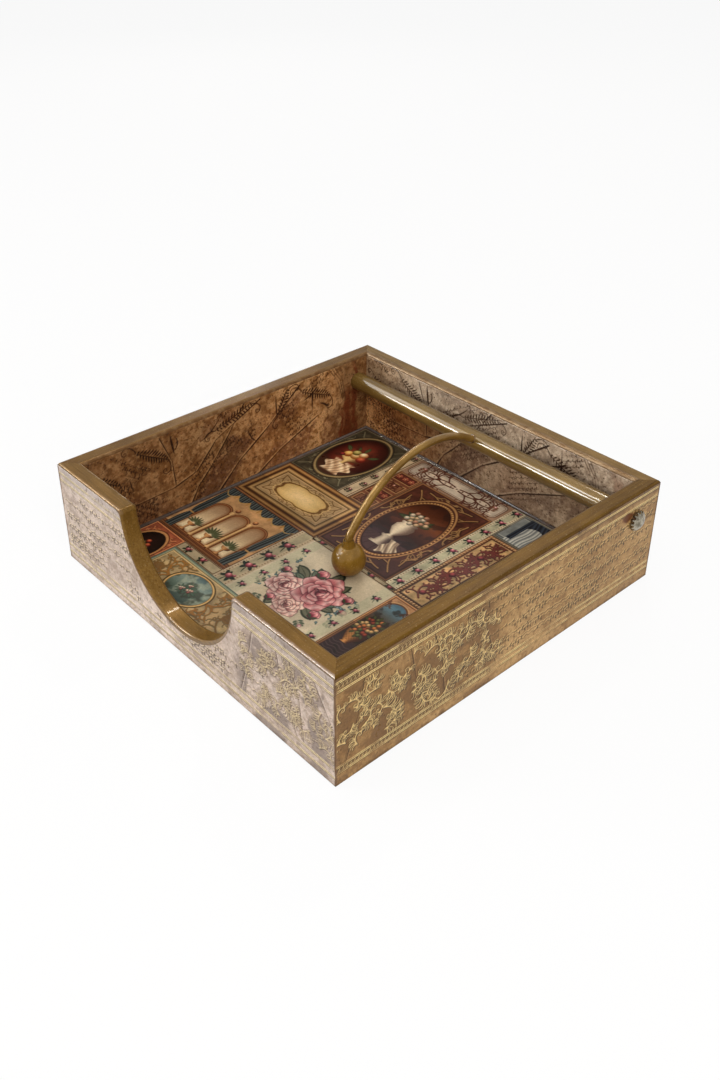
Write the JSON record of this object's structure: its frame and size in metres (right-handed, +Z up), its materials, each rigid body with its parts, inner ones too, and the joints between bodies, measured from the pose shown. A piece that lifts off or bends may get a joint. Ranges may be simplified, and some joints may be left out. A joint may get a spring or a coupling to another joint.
{
  "type": "napkin holder with weighted arm",
  "caption": "Square open tray that holds a stack of folded napkins, with a finger cut-out in front and a ball-ended arm hinged on a rod at the back that weighs the napkins down.",
  "frame": {"origin": "under the middle of the tray, in the plane that it stands on", "axes": "+Z up, +X to the right seen from the front, the wall with the finger cut-out faces -Y"},
  "size_m": [0.1968, 0.19, 0.0532],
  "materials": {
    "gilt_wood": "satin antique gold paint with fine brush marks",
    "gilt_rod": "satin antique gold paint",
    "gilt_metal": "glossy antique gold paint",
    "pale_paper": "pale pinkish beige printed paper under lacquer",
    "tan_paper": "warm tan printed paper with gold scrollwork under lacquer",
    "inner_paper": "brown parchment paper with dark pen strokes under lacquer",
    "floor_paper": "patchwork of small ornamental prints under glossy lacquer",
    "edge_lacquer": "dark board edge under glossy lacquer",
    "raw_board": "plain fibreboard",
    "nickel": "bright nickel plate",
    "brad_steel": "bare steel"
  },
  "bodies": {
    "tray": {"front_wall": "gilt_wood", "right_wall": "gilt_wood", "back_wall": "gilt_wood", "left_wall": "gilt_wood", "front_outer_paper": "pale_paper", "right_outer_paper": "tan_paper", "back_outer_paper": "tan_paper", "left_outer_paper": "pale_paper", "front_inner_paper": "inner_paper", "right_inner_paper": "inner_paper", "back_inner_paper": "inner_paper", "left_inner_paper": "inner_paper", "base_panel": "raw_board", "floor_board": "edge_lacquer", "floor_print": "floor_paper", "corner_brads": "brad_steel", "base_brads": "brad_steel"},
    "press_arm": {"pivot_rod": "gilt_rod", "weight_arm": "gilt_metal", "ball_weight": "gilt_metal", "ball_collar": "gilt_metal", "pivot_screw_right": "nickel", "pivot_screw_left": "nickel"}
  },
  "joints": [
    {"name": "arm_lift", "type": "hinge", "parent": "tray", "child": "press_arm", "pos_m": [0, 0.0795, 0.0375], "axis": [-1, 0, 0], "range_deg": [0, 78]}
  ]
}
